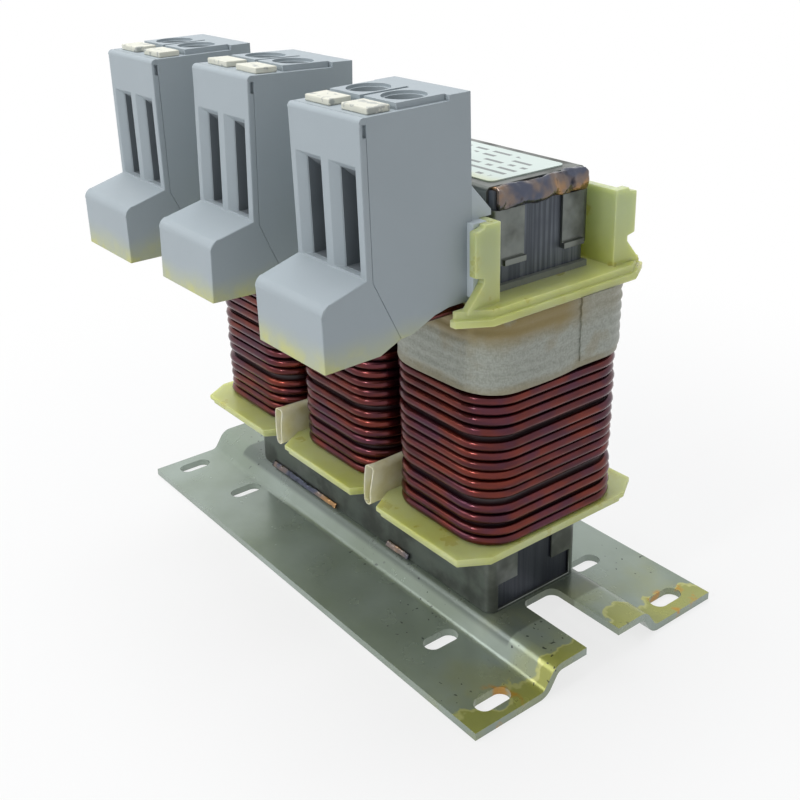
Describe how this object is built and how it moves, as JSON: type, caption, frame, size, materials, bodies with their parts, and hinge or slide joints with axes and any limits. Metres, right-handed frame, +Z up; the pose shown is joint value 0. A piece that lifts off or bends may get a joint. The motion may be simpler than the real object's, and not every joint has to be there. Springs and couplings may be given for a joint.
{
  "type": "three-phase line reactor",
  "caption": "Open-frame line reactor: wound coils on a laminated steel core, each with a clipped-on screw terminal block, on a folded steel foot with slots.",
  "frame": {"origin": "on the mounting plane, under the middle of the base plate", "axes": "+X along the row of coils, +Y away from the terminal side, +Z up from the mounting plane"},
  "size_m": [0.1824, 0.1212, 0.166],
  "materials": {
    "zinc_plated_steel": "zinc-plated sheet, semi-gloss, varnish-stained",
    "lamination": "dark blue-grey sheet edges under varnish",
    "channel_steel": "bare folded sheet, semi-gloss",
    "weld": "weld bead with heat colours",
    "label": "satin self-adhesive foil",
    "gap_board": "hard insulating board, matt",
    "bobbin_plastic": "translucent pale yellow-green, varnished",
    "copper_wire": "enamelled copper, dark red-brown, glossy",
    "tape": "off-white insulating tape, resin-stained",
    "film": "thin insulating film, satin",
    "block_plastic": "blue-grey moulded plastic, matt",
    "clip_plastic": "light grey moulded plastic, matt",
    "clamp_steel": "plated steel clamp",
    "screw_steel": "plated steel screw",
    "tag_plastic": "cream moulded plastic, matt"
  },
  "bodies": {
    "root": {"base_plate": "zinc_plated_steel", "base_weld_long": "weld", "base_weld_short": "weld", "lower_channel": "channel_steel", "core_legs": "lamination", "core_yoke": "lamination", "upper_channel": "channel_steel", "end_weld_far": "weld", "end_weld_near": "weld", "name_plate": "label", "phase_sleeve_1": "film", "phase_sleeve_2": "film", "gap_sheet_1": "gap_board", "bobbin_1": "bobbin_plastic", "winding_1": "copper_wire", "tape_1": "tape", "terminal_front_1": "block_plastic", "terminal_rear_1": "block_plastic", "block_clip_1": "clip_plastic", "clamp_left_1": "clamp_steel", "clamp_screw_left_1": "screw_steel", "marker_left_1": "tag_plastic", "clamp_right_1": "clamp_steel", "clamp_screw_right_1": "screw_steel", "marker_right_1": "tag_plastic", "gap_sheet_2": "gap_board", "bobbin_2": "bobbin_plastic", "winding_2": "copper_wire", "tape_2": "tape", "terminal_front_2": "block_plastic", "terminal_rear_2": "block_plastic", "block_clip_2": "clip_plastic", "clamp_left_2": "clamp_steel", "clamp_screw_left_2": "screw_steel", "marker_left_2": "tag_plastic", "clamp_right_2": "clamp_steel", "clamp_screw_right_2": "screw_steel", "marker_right_2": "tag_plastic", "gap_sheet_3": "gap_board", "bobbin_3": "bobbin_plastic", "winding_3": "copper_wire", "tape_3": "tape", "terminal_front_3": "block_plastic", "terminal_rear_3": "block_plastic", "block_clip_3": "clip_plastic", "clamp_left_3": "clamp_steel", "clamp_screw_left_3": "screw_steel", "marker_left_3": "tag_plastic", "clamp_right_3": "clamp_steel", "clamp_screw_right_3": "screw_steel", "marker_right_3": "tag_plastic"}
  },
  "joints": []
}
